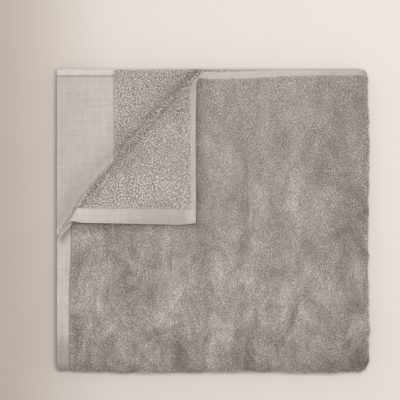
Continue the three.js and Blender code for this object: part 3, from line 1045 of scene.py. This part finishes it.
def pile_loops(patch, loop):
    """Points of every loop of a patch, with how far up its loop each point lies and the loop's tint with its
    painted light and shade.
    """
    rng = np.random.default_rng(patch["seed"])
    s, t = scattered_places(patch, rng)
    face, count = patch["face"], len(s)
    low = towel_points(s, t, face * LOOP_FOOT)
    up = unit(towel_points(s, t, face * LOOP_TOP) - low)
    side = unit(towel_points(s + 0.5, t, face * GROUND) - towel_points(s - 0.5, t, face * GROUND))
    side = unit(side - up * np.sum(side * up, axis=1, keepdims=True))
    onward = np.cross(up, side)
    lay, lay_onward = (smooth_noise(low, length, rng) for length in LAY_LENGTHS)
    span = heading_at(side, onward, rng.uniform(0, 2 * np.pi, count))
    beside = np.cross(up, span)
    half_span = patch["span"] / 2 * varied(rng, count, SIZE_SPREAD)
    height = (patch["height"] + LAY_HEIGHT * lay) * varied(rng, count, HEIGHT_SPREAD)
    height *= 1 - UNDERSIDE_LESS * ease(-2 * up[:, 2])
    yarn = patch["yarn"] / 2 * varied(rng, count, YARN_SPREAD)
    lean = heading_at(side, onward, rng.uniform(0, 2 * np.pi, count))
    lean *= np.abs(rng.normal(0, LOOSE_LEAN, count))[:, None]
    lean += side * (LAY_LEAN * lay)[:, None] + onward * (LAY_LEAN * lay_onward)[:, None]
    lean *= patch["height"]
    # The model's half circle gives the span and the height of a loop, and its ring the yarn's section
    arch = np.arctan2(loop[:, 2], loop[:, 0])
    centre_x, centre_z = np.cos(arch), np.sin(arch)
    ring_x, ring_z = loop[:, 0] - LOOP_RADIUS * centre_x, loop[:, 2] - LOOP_RADIUS * centre_z
    rise = np.clip(centre_z, 0, 1)
    body = (
        span[:, None] * (half_span[:, None] * centre_x + yarn[:, None] * ring_x)[..., None]
        + beside[:, None] * (yarn[:, None] * loop[:, 1])[..., None]
        + up[:, None] * (height[:, None] * rise + yarn[:, None] * ring_z)[..., None]
        + lean[:, None] * (rise**LEAN_CURVE)[None, :, None]
    )
    # Under the towel the loops are pressed flat on the floor
    points = low[:, None] + body * MM
    points[..., 2] = np.maximum(points[..., 2], 0)
    # Each loop's tint: random tone, painted light and shade of the pile's lay, and painted shade beside the
    # turned corner and along its roll
    tint = (1 + patch["unlike"] * rng.normal(0, 1, count) + LAY_LIGHT_TINT * lay).clip(*TINT_LIMITS)
    tint *= (top_shade if face > 0 else beside_roll)(low[:, 0] / MM, low[:, 1] / MM)
    return points, np.broadcast_to(rise, (count, len(loop))), np.repeat(tint[:, None], len(loop), 1)


def joined_piece(name, points, shape_faces, cells, **attributes):
    """One piece from equal copies of a shape, with the shape's points given for each copy."""
    count, per = points.shape[:2]
    sizes = np.tile([len(face) for face in shape_faces], count)
    corners = (np.concatenate(shape_faces)[None, :] + np.arange(count)[:, None] * per).ravel()
    mesh = bpy.data.meshes.new(name)
    mesh.vertices.add(count * per)
    mesh.vertices.foreach_set("co", points.astype(np.float32).ravel())
    mesh.loops.add(len(corners))
    mesh.loops.foreach_set("vertex_index", corners.astype(np.int32))
    mesh.polygons.add(len(sizes))
    mesh.polygons.foreach_set("loop_start", (np.cumsum(sizes) - sizes).astype(np.int32))
    mesh.polygons.foreach_set("use_smooth", np.ones(len(sizes), bool))
    mesh.update(calc_edges=True)
    for key, values in attributes.items():
        add_values(mesh, key, values)
    piece = add_piece(name, mesh)
    shape_uv = np.concatenate(cells)
    rows = math.ceil(math.sqrt(count))
    corner = np.stack([np.arange(count) % rows, np.arange(count) // rows], 1)[:, None, :]
    add_uv(piece, "OFBake", (corner + CELL_MARGIN + (1 - 2 * CELL_MARGIN) * shape_uv[None]) / rows)
    add_uv(piece, "Yarn", np.broadcast_to(shape_uv, (count, *shape_uv.shape)))
    return piece


def stitch_shape():
    """One stitch: a small rounded thread that lies along X with its length and width 1."""
    bpy.ops.object.select_all(action="DESELECT")
    bpy.ops.mesh.primitive_uv_sphere_add(
        segments=4,
        ring_count=4,
        radius=0.5,
        enter_editmode=True,
        location=(0, 0, 0),
        rotation=(0, math.pi / 2, 0),
    )
    bpy.ops.mesh.select_all(action="SELECT")
    bpy.ops.mesh.normals_make_consistent(inside=False)
    bpy.ops.object.mode_set(mode="OBJECT")
    bpy.ops.object.transform_apply(rotation=True)
    return modelled_shape()


def stitch_cells(points, faces):
    """Places of a stitch's faces in its own square: as seen from above, the lower ones a little aside."""
    cells = []
    for face in faces:
        aside = STITCH_ASIDE * np.sign(points[face][:, 2:].mean())
        cells.append(0.5 + STITCH_CELL * points[face][:, :2] * (1, STITCH_GIRTH) + aside)
    return cells


def seam_stitches(shape, seam, across, face):
    """Copies of the stitch along a seam of one face of the cloth."""
    length = CLOTH_WIDTH if across else CLOTH_LENGTH
    count = int((length - 2 * STITCH_MARGIN) / STITCH_PITCH)
    place = np.linspace(STITCH_MARGIN, length - STITCH_MARGIN, count)
    if across:
        s, t, step = beside_end_hem(seam, place), place, (0, STITCH_AHEAD)
    else:
        s, t, step = place, beside_side_hem(place, seam), (STITCH_AHEAD, 0)
    show = half_thickness(s, t, face) - STITCH_SINK
    middle = towel_points(s, t, face * show)
    up = unit(towel_points(s, t, face * (show + 0.5)) - middle)
    ahead = unit(towel_points(s + step[0], t + step[1], face * show) - middle)
    beside = np.cross(up, ahead)
    x, y, z = (shape * (STITCH_LENGTH, STITCH_WIDTH, STITCH_WIDTH)).T
    body = ahead[:, None] * x[:, None] + beside[:, None] * y[:, None] + up[:, None] * z[:, None]
    return middle[:, None] + body * MM


class TowelColours(PropertyGroup):
    """Colours of the towel's yarns."""

    fine_pile: FloatVectorProperty(
        name="Top pile",
        description="Colour of the finer pile on the top",
        subtype="COLOR",
        default=(0.663, 0.6, 0.564),
    )
    coarse_pile: FloatVectorProperty(
        name="Inner pile",
        description="Colour of the coarser inner pile",
        subtype="COLOR",
        default=(0.77, 0.718, 0.682),
    )
    flat_weave: FloatVectorProperty(
        name="Flat weave",
        description="Colour of the hems and the band",
        subtype="COLOR",
        default=(0.62, 0.575, 0.55),
    )
    thread: FloatVectorProperty(
        name="Thread", description="Colour of the sewing thread", subtype="COLOR", default=(0.55, 0.5, 0.465)
    )


class TowelPile(PropertyGroup):
    """Sizes of the pile loops."""

    fine_spacing: FloatProperty(
        name="Top loop spacing", description="Distance between loops on the top, in mm", default=2.0, min=1.2
    )
    coarse_spacing: FloatProperty(
        name="Inner loop spacing",
        description="Distance between loops on the inner face, in mm",
        default=2.35,
        min=1.2,
    )
    loop_height: FloatProperty(
        name="Loop height", description="Height of a loop above the ground weave, in mm", default=1.5, min=0.5
    )
    yarn_width: FloatProperty(
        name="Yarn width", description="Thickness of a loop's yarn, in mm", default=1.1, min=0.3
    )
    loops_per_piece: IntProperty(
        name="Loops in a piece", description="Most loops that one piece holds", default=9600, min=100
    )


class TowelStage(PropertyGroup):
    """The plain studio that the towel is shown in."""

    camera_height: FloatProperty(
        name="Camera height",
        description="Height of the camera above the towel's top",
        unit="LENGTH",
        default=2.56,
    )
    frame_centre: FloatVectorProperty(
        name="Frame centre",
        description="Point under the camera",
        subtype="TRANSLATION",
        size=2,
        default=(-0.0146, 0.0238),
    )
    floor_colour: FloatVectorProperty(
        name="Floor", description="Colour of the floor", subtype="COLOR", default=(0.84, 0.795, 0.765)
    )
    # Painted shade of the floor far to the left
    floor_shade: FloatVectorProperty(
        name="Floor in shade",
        description="Colour of the floor far to the left",
        subtype="COLOR",
        default=(0.575, 0.505, 0.442),
    )


class TOWEL_OT_cloth(Operator):
    """Lay the folded cloth in the place of its solid"""

    bl_idname = "towel.cloth"
    bl_label = "Lay the cloth"

    def execute(self, context):
        places, faces, rim = flat_cloth()
        s, t = places.T
        sides = [towel_points(s, t, face * half_thickness(s, t, face)) for face in (1, -1)]
        shades = [cloth_shade(s, t, face, side) for face, side in zip((1, -1), sides)]
        count = len(places)
        all_faces = faces + [[v + count for v in reversed(face)] for face in faces]
        all_faces += [[b, a, a + count, b + count] for a, b in rim]
        mesh = bpy.data.meshes.new("towel_cloth")
        mesh.from_pydata(np.concatenate(sides), [], all_faces)
        mesh.validate()
        mesh.polygons.foreach_set("use_smooth", [True] * len(mesh.polygons))
        piece = add_piece("towel_cloth", mesh)
        corner = np.zeros(len(mesh.loops), np.int32)
        mesh.loops.foreach_get("vertex_index", corner)
        spot = corner % count
        cloth_uv = np.stack([s[spot], t[spot]], 1) * MM
        add_uv(piece, "Cloth", cloth_uv)
        atlas = cloth_uv / (CLOTH_LENGTH * MM) * (1 - 2 * ATLAS_MARGIN) + ATLAS_MARGIN
        atlas[:, 1] += np.where(corner >= count, 0.5, 0.0)
        add_uv(piece, "OFBake", atlas)
        # The shade attribute holds the painted shade and painted light of both faces
        add_values(mesh, "shade", np.concatenate(shades))
        colours = context.scene.towel_colours
        mesh.materials.append(ground_material("Top Ground", tuple(colours.fine_pile), TOP_LAY_LIGHT))
        mesh.materials.append(ground_material("Inner Ground", tuple(colours.coarse_pile), INNER_LAY_LIGHT))
        mesh.materials.append(flat_material(tuple(colours.flat_weave)))
        # Kinds of face, in the order of the materials: top ground, inner ground, flat weave
        piled = in_pile(s, t)
        kinds = []
        for face in mesh.polygons:
            flat = max(piled[v % count] for v in face.vertices) < 0.5
            kinds.append(2 if flat else int(min(face.vertices) >= count))
        mesh.polygons.foreach_set("material_index", kinds)
        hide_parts("bath_towel")
        return {"FINISHED"}


class TOWEL_OT_pile(Operator):
    """Stand the pile's loops on every face of the cloth that shows"""

    bl_idname = "towel.pile"
    bl_label = "Add the pile"

    def execute(self, context):
        pile, colours = context.scene.towel_pile, context.scene.towel_colours
        yarns = {
            1: pile_material("Top Pile", tuple(colours.fine_pile), TOP_LAY_LIGHT),
            -1: pile_material("Inner Pile", tuple(colours.coarse_pile), INNER_LAY_LIGHT),
        }
        height, width = pile.loop_height, pile.yarn_width
        shapes = {
            1: {"span": 2.1, "height": height, "yarn": width, "unlike": 0.1},
            -1: {"span": 2.6, "height": height + 0.4, "yarn": width + 0.2, "unlike": 0.08},
        }
        loop, faces = loop_shape()
        cells = loop_cells(loop, faces)
        top, flap, end = TOP["end"], FLAP_REACH, END_HEM + HEM_GAP
        side, other_side = SIDE_HEM + HEM_GAP, CLOTH_WIDTH - SIDE_HEM
        left, left_end = LEFT_TURN["start"] - LEFT_TURN_MARGIN, LEFT_TURN["end"] + LEFT_TURN_MARGIN
        beneath, band = CLOTH_LENGTH - BENEATH_REACH, CLOTH_LENGTH - END_BAND + BAND_GAP
        covered, open_corner = COVERED_HEM + HEM_GAP, (CLOTH_LENGTH - 100, 120)
        columns = ("name", "face", "s_from", "s_to", "t_from", "t_to", "spacing", "middle")
        patches = (
            ("pile_top", 1, end, top, side, FAR_RUN, pile.fine_spacing, (300, 300)),
            ("pile_near", 1, end, top, FAR_RUN, FOLD_END, 2.4, (top / 2, 0)),
            ("pile_right", 1, top, RIGHT_TURN["end"], side, other_side, 2.4, None),
            ("pile_left", 1, left, left_end, SIDE_HEM, other_side, 2.6, None),
            ("pile_under", 1, end, top, FOLD_END, other_side, 2.8, None),
            ("pile_flap", -1, end, flap, side, flap, pile.coarse_spacing, (120, 120)),
            ("pile_beneath", -1, beneath, band, covered, BENEATH_REACH, pile.coarse_spacing, open_corner),
        )
        for seed, row in enumerate(patches, FIRST_SEED):
            patch = dict(zip(columns, row), seed=seed)
            points, heights, tints = pile_loops({**patch, **shapes[patch["face"]]}, loop)
            order = np.argsort(points[:, 0, 0], kind="stable")
            parts = np.array_split(order, math.ceil(len(order) / pile.loops_per_piece))
            for i, part in enumerate(parts):
                name = patch["name"] if len(parts) == 1 else f"{patch['name']}_{i + 1}"
                piece = joined_piece(name, points[part], faces, cells, yarn=heights[part], tint=tints[part])
                piece.data.materials.append(yarns[patch["face"]])
        return {"FINISHED"}


class TOWEL_OT_sewing(Operator):
    """Sew the seams of the end hems and the side hems"""

    bl_idname = "towel.sewing"
    bl_label = "Sew the hems"

    def execute(self, context):
        shape, faces = stitch_shape()
        ends = (END_HEM - SEAM_INSET, CLOTH_LENGTH - END_HEM + SEAM_INSET)
        sides = (SIDE_HEM - SEAM_INSET, CLOTH_WIDTH - SIDE_HEM + SEAM_INSET)
        material = thread_material(tuple(context.scene.towel_colours.thread))
        cells = stitch_cells(shape, faces)
        for name, seams, across in (("end_seams", ends, True), ("side_seams", sides, False)):
            copies = [seam_stitches(shape, seam, across, face) for seam in seams for face in (1, -1)]
            piece = joined_piece(name, np.concatenate(copies), faces, cells)
            piece.data.materials.append(material)
        return {"FINISHED"}


class TOWEL_OT_stage(Operator):
    """Set the floor, the soft studio light and the camera above the towel"""

    bl_idname = "towel.stage"
    bl_label = "Set the stage"

    def execute(self, context):
        stage = context.scene.towel_stage
        bpy.ops.object.select_all(action="DESELECT")
        bpy.ops.mesh.primitive_plane_add(size=6, location=(0, 0, 0))
        floor = context.active_object
        floor.name = "floor"
        floor.data.materials.append(floor_material(stage.floor_colour, stage.floor_shade))
        world = bpy.data.worlds.new("Studio")
        context.scene.world = world
        world.use_nodes = True
        world.node_tree.nodes["Background"].inputs["Color"].default_value = (1.0, 0.98, 0.96, 1)
        world.node_tree.nodes["Background"].inputs["Strength"].default_value = 0.43
        bpy.ops.object.light_add(type="AREA", location=(0.14, 0.16, 2.0))
        light = context.active_object
        light.name = "key_light"
        light.data.size = 0.6
        light.data.energy = 24.0
        light.data.color = (1.0, 0.97, 0.94)
        light.rotation_mode = "QUATERNION"
        light.rotation_quaternion = light.location.to_track_quat("Z", "Y")
        height = STACK_HEIGHT * 2 * MM + stage.camera_height
        bpy.ops.object.camera_add(location=(*stage.frame_centre, height), rotation=(0, 0, 0))
        camera = context.active_object
        camera.name = "camera"
        camera.data.lens = 200
        camera.data.sensor_width = 36
        context.scene.camera = camera
        context.scene.view_settings.view_transform = "Standard"
        return {"FINISHED"}


class TOWEL_PT_panel(Panel):
    """Steps and settings of the folded towel"""

    bl_idname = "TOWEL_PT_panel"
    bl_label = "Folded towel"
    bl_space_type = "VIEW_3D"
    bl_region_type = "UI"
    bl_category = "Towel"

    def draw(self, context):
        for settings in (context.scene.towel_colours, context.scene.towel_pile, context.scene.towel_stage):
            for key in settings.__annotations__:
                self.layout.prop(settings, key)
        for step in STEPS:
            self.layout.operator(step.bl_idname)


STEPS = (TOWEL_OT_cloth, TOWEL_OT_pile, TOWEL_OT_sewing, TOWEL_OT_stage)
CLASSES = (TowelColours, TowelPile, TowelStage, *STEPS, TOWEL_PT_panel)
SETTINGS = {"towel_colours": TowelColours, "towel_pile": TowelPile, "towel_stage": TowelStage}


def register():
    """Adds the steps, the panel and the scene's settings."""
    for item in CLASSES:
        bpy.utils.register_class(item)
    for name, kind in SETTINGS.items():
        setattr(bpy.types.Scene, name, PointerProperty(type=kind))


def unregister():
    """Takes the settings, the panel and the steps out again."""
    for name in SETTINGS:
        delattr(bpy.types.Scene, name)
    for item in reversed(CLASSES):
        bpy.utils.unregister_class(item)


def main():
    """Makes the towel and its stage step by step."""
    register()
    for step in STEPS:
        group, operator = step.bl_idname.split(".")
        getattr(getattr(bpy.ops, group), operator)()


if __name__ == "__main__":
    main()
